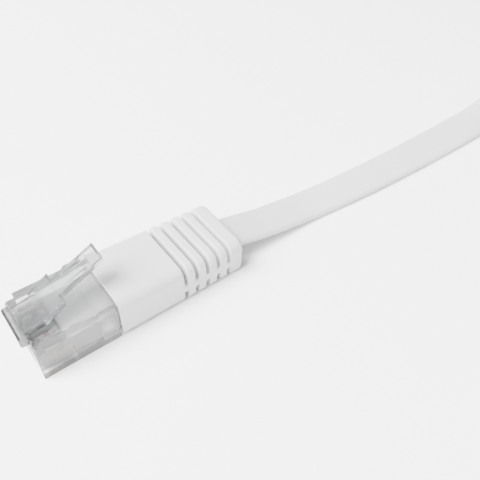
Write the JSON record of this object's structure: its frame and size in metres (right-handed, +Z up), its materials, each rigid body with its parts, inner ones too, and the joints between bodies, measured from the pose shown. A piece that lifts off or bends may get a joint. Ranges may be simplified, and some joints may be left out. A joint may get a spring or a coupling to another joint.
{
  "type": "ethernet patch cable",
  "caption": "Flat white network patch cord with clear modular plugs, spring latches, gold contacts and ribbed strain-relief boots; the spare length is coiled and tied.",
  "frame": {"origin": "middle of the underside of the near plug and its boot, on the surface that it lies on", "axes": "+X from the near plug's nose towards its cord, +Z up on the latch side, +Y towards contact 1"},
  "size_m": [0.1674, 0.0896, 0.0148],
  "materials": {
    "clear_polycarbonate": "clear moulded polycarbonate, faintly grey, glossy",
    "gold_plated_contact": "stamped, gold plated, bright",
    "white_pvc_boot": "soft moulded PVC, white, satin",
    "white_pvc_jacket": "extruded PVC, white, satin, faint lengthwise lines over the conductors",
    "white_strap": "thin polyethylene strap, off-white, matte",
    "insulation_white_orange": "conductor insulation, satin",
    "insulation_orange": "conductor insulation, satin",
    "insulation_white_green": "conductor insulation, satin",
    "insulation_blue": "conductor insulation, satin",
    "insulation_white_blue": "conductor insulation, satin",
    "insulation_green": "conductor insulation, satin",
    "insulation_white_brown": "conductor insulation, satin",
    "insulation_brown": "conductor insulation, satin"
  },
  "bodies": {
    "cable": {"near_housing": "clear_polycarbonate", "near_clamp_wedge": "clear_polycarbonate", "near_contact_1": "gold_plated_contact", "near_wire_1_white_orange": "insulation_white_orange", "near_contact_2": "gold_plated_contact", "near_wire_2_orange": "insulation_orange", "near_contact_3": "gold_plated_contact", "near_wire_3_white_green": "insulation_white_green", "near_contact_4": "gold_plated_contact", "near_wire_4_blue": "insulation_blue", "near_contact_5": "gold_plated_contact", "near_wire_5_white_blue": "insulation_white_blue", "near_contact_6": "gold_plated_contact", "near_wire_6_green": "insulation_green", "near_contact_7": "gold_plated_contact", "near_wire_7_white_brown": "insulation_white_brown", "near_contact_8": "gold_plated_contact", "near_wire_8_brown": "insulation_brown", "near_boot": "white_pvc_boot", "near_jacket_end": "white_pvc_jacket", "far_housing": "clear_polycarbonate", "far_clamp_wedge": "clear_polycarbonate", "far_contact_1": "gold_plated_contact", "far_wire_1_white_orange": "insulation_white_orange", "far_contact_2": "gold_plated_contact", "far_wire_2_orange": "insulation_orange", "far_contact_3": "gold_plated_contact", "far_wire_3_white_green": "insulation_white_green", "far_contact_4": "gold_plated_contact", "far_wire_4_blue": "insulation_blue", "far_contact_5": "gold_plated_contact", "far_wire_5_white_blue": "insulation_white_blue", "far_contact_6": "gold_plated_contact", "far_wire_6_green": "insulation_green", "far_contact_7": "gold_plated_contact", "far_wire_7_white_brown": "insulation_white_brown", "far_contact_8": "gold_plated_contact", "far_wire_8_brown": "insulation_brown", "far_boot": "white_pvc_boot", "far_jacket_end": "white_pvc_jacket", "cord_near_run": "white_pvc_jacket", "cord_far_run": "white_pvc_jacket", "cord_coil": "white_pvc_jacket", "coil_tie": "white_strap"},
    "near_latch": {"near_latch": "clear_polycarbonate"},
    "far_latch": {"far_latch": "clear_polycarbonate"}
  },
  "joints": [
    {"name": "near_latch_hinge", "type": "hinge", "parent": "cable", "child": "near_latch", "pos_m": [-0.0171, 0, 0.0071], "axis": [0, 1, 0], "range_deg": [0, 12], "stiffness_Nm_per_rad": 0.02},
    {"name": "far_latch_hinge", "type": "hinge", "parent": "cable", "child": "far_latch", "pos_m": [0.0226, -0.0767, 0.0061], "axis": [0, 0, 1], "range_deg": [0, 12], "stiffness_Nm_per_rad": 0.02}
  ]
}
